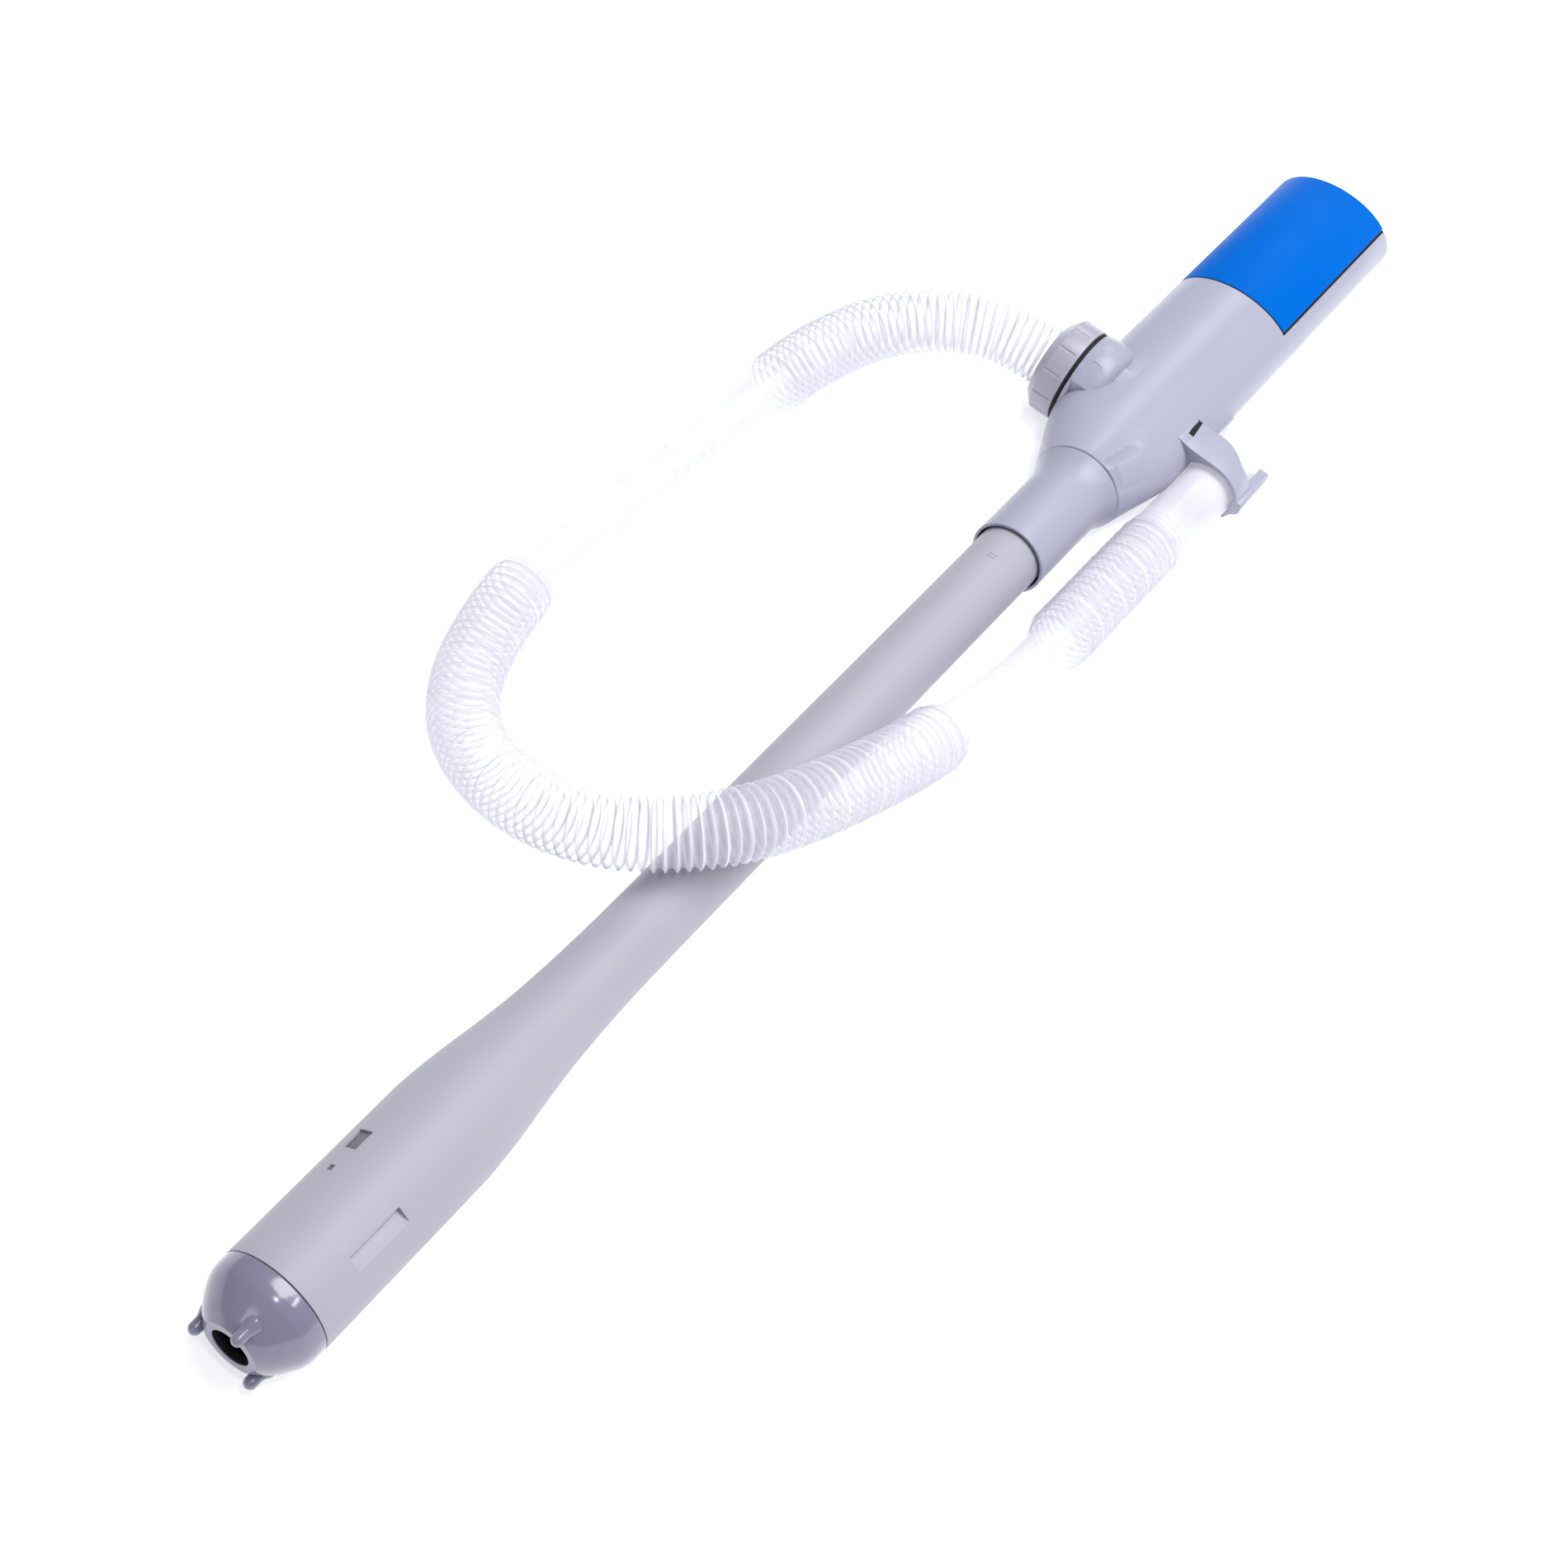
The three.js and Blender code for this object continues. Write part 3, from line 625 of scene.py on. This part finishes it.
# ------------------------------------------------------------------ pump tube and socket
def on_pocket_floor(face):
    """Whether a face of the tube, in pump axis millimetres, is the floor of the long pocket."""
    along = POCKET_X[0] - 0.5 < face.center.x < POCKET_X[1] + 0.5
    sunk = 16.5 < math.hypot(face.center.y, face.center.z) < 18.9
    faces_up = face.center.z > 10 and abs(face.normal.x) < 0.1 and face.normal.z > 0.5
    return along and sunk and faces_up


def pump_tube():
    taper = [tuple(p) for p in smooth_line(TAPER, 6)]
    tube = turned("suction_tube_shell", [
        (SEAM_X, PUMP_BORE_R), (SEAM_X, PUMP_R), (28, PUMP_R), (60, PUMP_R), *taper,
        (240, TUBE_R), (300, TUBE_R), (360, TUBE_R), (446, TUBE_R), (446, TUBE_BORE_R),
        (188, TUBE_BORE_R), (156, 11.5), (136, 12.4), (112, 15), (94, BORE_R), (LEDGE_X, BORE_R),
        (LEDGE_X, PUMP_BORE_R),
    ], ease=0.25)
    pocket = prism("pocket", [(-0.8, 16.8), (-0.8, 22), (-6.6, 22), (-6.2, 17.96)], *POCKET_X)
    cut(tube, turn_x(pocket, POCKET_DEG))
    cut(tube, turn_x(block("latch_pocket", *LATCH_X, -3, 3, 17.4, 22), LATCH_DEG))
    cut(tube, turn_x(block("mark", *ARROW_X, -1.2, 1.2, 18.3, 22), ARROW_DEG))
    # The pocket's upward-facing floor gets the lighter plastic: painted light.
    lit_floor_faces = [face.index for face in tube.data.polygons if on_pocket_floor(face)]
    dress(tube, TUBE_GREY, "pump_frame", ["pump_tube"])
    tube.data.materials.append(POCKET_FLOOR_LIT_GREY)
    for index in lit_floor_faces:
        tube.data.polygons[index].material_index = 1


pump_tube()


def tube_marks():
    """A dark fill in the latch pocket, painted shade on the pocket's floor, a small dark mark beside it and
    two dashes near the head.
    """
    # Dark fill sunk in the latch pocket: painted shade where the pocket's floor lies in shadow.
    shade_fill = block("latch_pocket_painted_shade", LATCH_X[0] + GAP, LATCH_X[1] - GAP, -2.7, 2.7, 17.2, 18.25, 0.35)
    dress(turn_x(shade_fill, LATCH_DEG), SHADE_AND_MARK_GREY, "pump_frame")
    arrow = block("latch_arrow", ARROW_X[0] + 0.05, ARROW_X[1] - 0.05, -1.15, 1.15, 18.1, 18.6)
    dress(turn_x(arrow, ARROW_DEG), SHADE_AND_MARK_GREY, "pump_frame")
    for k in (0, 1):
        dash = block(f"size_dash_{k + 1}", 387.2 + 1.6 * k, 388 + 1.6 * k, -1.6, 1.6, 12.2, 12.75, 0.15)
        dress(turn_x(dash, -6), TUBE_GREY, "pump_frame")


tube_marks()


def tube_socket():
    mouth_x = COLLAR_X - COLLAR_GAP
    flare = smooth_line([
        (436, SOCKET_R), (441, SOCKET_R + 0.03), (445.5, 15.3), (449, 16.5), (mouth_x, COLLAR_R - 0.1),
    ], 5)
    socket = turned("head_socket_shell", [
        (SOCKET_X, 13.5), (SOCKET_X, SOCKET_R), *[tuple(p) for p in flare], (mouth_x, 15.2),
        (456, 15.2), (456, 12), (447, 12), (447, 13.5),
    ], ease=0.3)
    dress(socket, GREY, "pump_frame", ["tube_socket"])


tube_socket()


# ------------------------------------------------------------------ head
def oval_arc(half_y, half_z, from_deg, to_deg, steps):
    return [(HEAD_CY + half_y * math.cos(a), half_z * math.sin(a)) for a in
            (math.radians(from_deg + (to_deg - from_deg) * k / steps) for k in range(steps + 1))]


def oval_band(outer_step, inner_step, from_deg, to_deg, steps):
    """Outline between two ovals that lie the given steps outside and inside the head's surface."""
    outer = oval_arc(HEAD_RY + outer_step, HEAD_RZ + outer_step, from_deg, to_deg, steps)
    inner = oval_arc(HEAD_RY - inner_step, HEAD_RZ - inner_step, from_deg, to_deg, steps)
    return outer + inner[::-1]


def crease(x, angle):
    """Swell of the flare: a ridge running out from the collar, hollow above it and flat below it."""
    if not COLLAR_X < x < HEAD_X:
        return 1
    share = (x - COLLAR_X) / (HEAD_X - COLLAR_X)
    folded = abs(math.atan2(math.sin(angle), math.cos(angle)))
    away = folded - math.radians(RIDGE_FROM_DEG + RIDGE_TURN_DEG * share)
    if away > 0:
        height = RIDGE_HEIGHT * max(0, 1 - away / RIDGE_FLANK)
    elif away > -RIDGE_HOLLOW:
        height = RIDGE_HEIGHT + (RIDGE_HEIGHT + RIDGE_DIP) * away / RIDGE_HOLLOW
    else:
        height = -RIDGE_DIP * max(0, 2 + away / RIDGE_HOLLOW)
    return 1 + height * min(1, share / RIDGE_RISE, (1 - share) / RIDGE_FADE)


def head():
    flare = [tuple(p) for p in smooth_line([(x, a, b, c) for x, a, b, c in FLARE], 5)]
    first = (COLLAR_X, COLLAR_R - 0.35, COLLAR_R - 0.35, 0)
    sections = (*range(500, 641, 20), HEAD_TOP_X - 0.5)
    body = stack("head_case", [
        (COLLAR_X, 0, 0, 0), first, (COLLAR_X + 0.3, COLLAR_R, COLLAR_R, 0.02), *flare[1:],
        *[(x, HEAD_RY, HEAD_RZ, HEAD_CY) for x in sections],
        (HEAD_TOP_X - 0.15, HEAD_RY - 0.15, HEAD_RZ - 0.15, HEAD_CY),
        (HEAD_TOP_X, HEAD_RY - 0.5, HEAD_RZ - 0.5, HEAD_CY), (HEAD_TOP_X, 0, 0, HEAD_CY),
    ], 200, crease)
    neck = turned_about_outlet("neck", [
        (8, 0), (8, NECK_R), (26.4, NECK_R), (27.6, FLANGE_R), (FLANGE_Y, FLANGE_R), (FLANGE_Y, 0),
    ], ease=0.4)
    join(body, neck)
    rim = [tuple(p) for p in smooth_line([
        (14.5, 13), (15.2, 16), (17, 18.4), (20.7, 19.8), (23.6, LOBE_R), (26, 19.9),
        (FLANGE_Y - 0.4, 19.5),
    ], 5)]
    lobe = turned_about_outlet("lobe", [(14.5, 0), *rim, (FLANGE_Y - 0.4, 0)], ease=0)
    half = prism("half", [
        (LOBE_X, 30), (LOBE_X, 18.2), (LOBE_X - 8, 11.5), (LOBE_X - 8, -FLANGE_R),
        (OUTLET_X + 30, -FLANGE_R), (OUTLET_X + 30, 30),
    ], -40, 0)
    half.data.transform(Matrix.Rotation(math.radians(-90), 4, "Z"))
    combine(lobe, half, "INTERSECT")
    chamfer(lobe, 0.55, 3, 34)
    join(body, lobe)
    inner_y, inner_z = HEAD_RY - WALL, HEAD_RZ - WALL
    cut(body, stack("wet_chamber", [
        (COLLAR_X - 1, 0, 0, 0), (COLLAR_X - 1, 15.5, 15.5, 0), (456.5, 15.5, 15.5, 0),
        (457.5, 15.5, 14.4, 0.3), (470, 21, 14.2, 1), (HEAD_X, inner_y, inner_z, HEAD_CY),
        (WET_END_X, inner_y, inner_z, HEAD_CY), (WET_END_X, 0, 0, HEAD_CY),
    ], 96))
    cut(body, stack("bay", [
        (BAY_X, 0, 0, HEAD_CY), (BAY_X, inner_y, inner_z, HEAD_CY),
        (HEAD_TOP_X + 1, inner_y, inner_z, HEAD_CY), (HEAD_TOP_X + 1, 0, 0, HEAD_CY),
    ], 96))
    cut(body, turned_about_outlet("neck_bore", [(0, 0), (0, 12), (40, 12), (40, 0)], 96, 0))
    recess = oval_band(2, COVER_WALL + GAP, COVER_FROM_DEG - SEAM_DEG, COVER_TO_DEG + SEAM_DEG, 90)
    cut(body, prism("recess", recess, COVER_X - 0.55, HEAD_TOP_X + 1))
    cut(body, prism("window", oval_band(2, 6, *WINDOW_DEG, 72), COVER_X + 4, END_WALL_X - 3))
    cut(body, move(turn_x(block("clip_slot", 498.5, 507, -4, 1.4, 13, 19), 64), 0, -7.6, 0))
    for y in (4, -4):
        hole = turned("lead_hole", [(540, 0), (540, 1.3), (560, 1.3), (560, 0)], 16, 0)
        cut(body, move(hole, 0, y, 0))
    dress(body, GREY, "pump_frame", ["head_shell"])


head()


def battery_cover():
    outline = oval_band(0, COVER_WALL, COVER_FROM_DEG + 0.5, COVER_TO_DEG - 0.5, 110)
    cover = prism("blue_battery_cover", outline, COVER_X + 0.45, HEAD_TOP_X)
    chamfer(cover, 0.3, 3, 50)
    dress(cover, BLUE, "cover", ["battery_cover"])


battery_cover()


def cover_gap_shade():
    """Thin black strips that fill the gap round the battery cover nearly to the surface: painted shade for
    the shadow in the gap.
    """
    def strip(name, from_deg, to_deg, steps, x0, x1):
        outline = oval_band(-0.12, 1.85, from_deg, to_deg, steps)
        dress(prism(name, outline, x0, x1), RUBBER, "pump_frame")

    front = COVER_X - 0.5
    strip("gap_shade_strip_low", COVER_TO_DEG, COVER_TO_DEG + SEAM_DEG - 0.1, 4, front, HEAD_TOP_X - 0.8)
    strip("gap_shade_strip_high", COVER_FROM_DEG - SEAM_DEG + 0.1, COVER_FROM_DEG, 4, front, HEAD_TOP_X - 0.8)
    strip("gap_shade_strip_front", COVER_FROM_DEG - 1, COVER_TO_DEG + 1, 110, front, COVER_X + 0.35)


cover_gap_shade()


# ------------------------------------------------------------------ outlet
def union_nut():
    nut = turned_about_outlet("union_nut_shell", [
        (NUT_Y, 17), (NUT_Y, NUT_R), (39.4, NUT_R), (42, 16.6), (NUT_END_Y, 15.4),
        (NUT_END_Y, HOSE_BORE_R), (36.5, HOSE_BORE_R), (35.5, 17),
    ], ease=0.5)
    away = NUT_R + 0.6
    for i in range(NUT_GROOVES):
        angle = math.tau * i / NUT_GROOVES
        start = NUT_Y + 1.6
        groove = turned("groove", [(start, 0), (start, 0.9), (40.5, 0.9), (40.5, 0)], 20, 0.3)
        groove.data.transform(Matrix.Rotation(math.pi / 2, 4, "Z"))
        cut(nut, move(groove, OUTLET_X + away * math.cos(angle), 0, away * math.sin(angle)))
    dress(nut, NUT_GREY, "nut", ["union_nut"])


union_nut()

gasket = turned_about_outlet("outlet_seal_ring", [
    (29.15, 13.6), (29.15, 19.1), (30.45, 19.1), (30.45, 13.6),
], ease=0.3)
dress(gasket, RUBBER, "pump_frame", ["outlet_gasket"])


# ------------------------------------------------------------------ hose clip
def hose_clip():
    slot_x = (CLIP_X + 4.8, CLIP_X + 14)

    def in_slot(made):
        """Turns a piece drawn along X to the slot's slant and puts it in the clip's root."""
        made.data.transform(Matrix.Rotation(math.radians(6), 4, "Z"))
        return move(made, 3.5, -72.2, 0)

    def arc(radius, from_deg, to_deg, steps):
        return [(CLIP_Y + radius * math.cos(a), CLIP_Z + radius * math.sin(a)) for a in
                (math.radians(from_deg + (to_deg - from_deg) * k / steps) for k in range(steps + 1))]

    root = [
        (-33, 9.7), (-30.5, 9.72), (-28, 9.8), (-26, 9.9), (-24, 10.05), (-22.5, 10.25),
        (-21, 10.5), (-19.8, 10.8), (-18.6, 11.1), (-17.4, 11.4), (-16, 9.8), (-20, 4),
    ]
    bar = [
        (-46.5, -1.5), (-46.4, -5.6), (-46.2, -8.2), (-45.6, -9.8), (-46.6, -9.9),
        (-48.2, -6.6), (-50.2, -5.1), (-51, -4.2), (-51, -0.6), (-50.2, 0.4),
    ]
    outline = arc(CLIP_R, 36, 149, 56) + bar + arc(CLIP_R + CLIP_WALL, 156, 98, 30) + root
    band = prism("hose_clip_band", outline, CLIP_X, CLIP_X + CLIP_LENGTH)
    edge = smooth_line([
        (15, 0), (15.2, -20), (15.5, -30), (14.7, -34.5), (12.6, -38.5), (10.6, -42), (10, -52),
    ], 6)
    trim = prism("trim", [(y, -x) for x, y in edge] + [(-52, -30), (0, -30)], 0.45, 30)
    trim.data.transform(Matrix.Rotation(math.radians(-90), 4, "Y"))
    cut(band, move(trim, CLIP_X, 0, 0))
    cut(band, in_slot(block("slot", *slot_x, -1.1, 1.1, 0, 20)))
    cut(band, stack("head_oval", [
        (480, 0, 0, HEAD_CY), (480, HEAD_RY - 0.6, HEAD_RZ - 0.6, HEAD_CY),
        (530, HEAD_RY - 0.6, HEAD_RZ - 0.6, HEAD_CY), (530, 0, 0, HEAD_CY),
    ], 96))
    chamfer(band, 0.3, 2, 50)
    dress(band, GREY, "pump_frame", ["hose_clip"])
    # Black piece in the slot: painted shade for the dark inside of the slot.
    slot_shade = block("clip_slot_painted_shade", *slot_x, -1.1, 1.1, 7.5, 10.5)
    dress(in_slot(slot_shade), RUBBER, "pump_frame")


hose_clip()


# ------------------------------------------------------------------ hose
def even_points(line, step):
    """Points along a line at even steps, and the line's length."""
    reach = [0.0]
    for a, b in zip(line, line[1:]):
        reach.append(reach[-1] + (b - a).length)
    total = reach[-1]
    count = int(total / step)
    points, k = [], 0
    for i in range(count + 1):
        target = total * i / count
        while k < len(line) - 2 and reach[k + 1] < target:
            k += 1
        t = (target - reach[k]) / (reach[k + 1] - reach[k])
        points.append(line[k].lerp(line[k + 1], t))
    return points, total


def crest_and_depth(share):
    """Crest radius and rib depth at a share of the length, eased where stretches meet."""
    def past(end):
        return min(1, max(0, (share - (end - HOSE_TAPER)) / (2 * HOSE_TAPER)))

    last = len(HOSE_STRETCHES) - 1
    n = 0
    while n < last and share > HOSE_STRETCHES[n][0]:
        n += 1
    here = HOSE_STRETCHES[n]
    t = past(here[0])
    if n < last and t > 0:
        first, second = here, HOSE_STRETCHES[n + 1]
    elif n > 0:
        first, second = HOSE_STRETCHES[n - 1], here
        t = past(first[0])
    else:
        return here[1], here[2]
    return first[1] + (second[1] - first[1]) * t, first[2] + (second[2] - first[2]) * t


def hose():
    centres, total = even_points(smooth_line(HOSE_ROUTE, 60), HOSE_STEP)
    count = len(centres) - 1
    sides = 48
    side = Vector((1, 0, 0))
    rows, verts, thick, inner_verts = [], [], [], []
    for i, centre in enumerate(centres):
        ahead = centres[min(count, i + 1)] - centres[max(0, i - 1)]
        ahead.normalize()
        side = (side - ahead * side.dot(ahead)).normalized()
        other = ahead.cross(side)
        share = i / count
        crest, depth = crest_and_depth(share)
        phase = total * share / (RIB_PITCH * MM)
        rib = (0.5 + 0.5 * math.cos(math.tau * phase)) ** RIB_SHARPNESS
        radius = (crest - depth * (1 - rib)) * MM
        bore = (crest - depth - HOSE_WALL) * MM
        ribbed = min(1, depth / RIB_DEPTH)
        smooth_part = (PLAIN_ALPHA - VALLEY_ALPHA) * (1 - ribbed)
        rib_part = (CREST_ALPHA - VALLEY_ALPHA) * ribbed * rib
        rows.append(list(range(len(verts), len(verts) + sides)))
        for k in range(sides):
            angle = math.tau * k / sides
            out = side * math.cos(angle) + other * math.sin(angle)
            verts.append(centre + out * radius)
            thick.append(VALLEY_ALPHA + smooth_part + rib_part)
            inner_verts.append(centre + out * bore)
    shift = len(verts)
    inner_rows = [[v + shift for v in row] for row in rows]
    made = new_object("corrugated_hose", verts + inner_verts, skin(rows + inner_rows[::-1], True))
    attribute = made.data.attributes.new("thickness", "FLOAT", "POINT")
    attribute.data.foreach_set("value", thick + [BORE_ALPHA] * shift)
    dress(made, MILKY, "pump_frame", ["hose"], Matrix.Identity(4), 60)


hose()


# ------------------------------------------------------------------ inside pieces, end of the head
def cells():
    for row, y in (("a", HEAD_CY - CELL_PITCH / 2), ("b", HEAD_CY + CELL_PITCH / 2)):
        for place in (1, 2):
            x0 = CELL_X + (place - 1) * (CELL_LENGTH + 1 + GAP)
            cell = turned(f"cell_{row}{place}", [
                (x0, 0), (x0, CELL_R), (x0 + CELL_LENGTH, CELL_R), (x0 + CELL_LENGTH, 2.6),
                (x0 + CELL_LENGTH + 1, 2.6), (x0 + CELL_LENGTH + 1, 0),
            ], 64, 0.6)
            dress(move(cell, 0, y, 0), CELL, "pump_frame", [f"battery_{row}{place}"])


cells()

DRESSED_NODES = {
    "intake_strainer": RUBBER, "nose_gasket": RUBBER, "impeller": BLACK, "impeller_cover": INNER,
    "motor_shaft": STEEL, "shaft_seal": RUBBER, "motor_housing": INNER, "motor": STEEL,
    "motor_end_bell": BLACK, "housing_plug": INNER, "tube_stop_ring": RUBBER, "contact_spring_a": STEEL,
    "contact_spring_b": STEEL, "contact_bridge": STEEL, "motor_lead_red": RED_WIRE,
    "motor_lead_black": BLACK_WIRE, "end_cap": GREY, "end_cap_screw_1": STEEL, "end_cap_screw_2": STEEL,
    "switch_body": BLACK, "switch_knob": BLACK, "hose_tail": INNER,
}
for name, material in DRESSED_NODES.items():
    node = nodes[name]
    node.data.materials.clear()
    node.data.materials.append(material)
    for face in node.data.polygons:
        face.material_index = 0
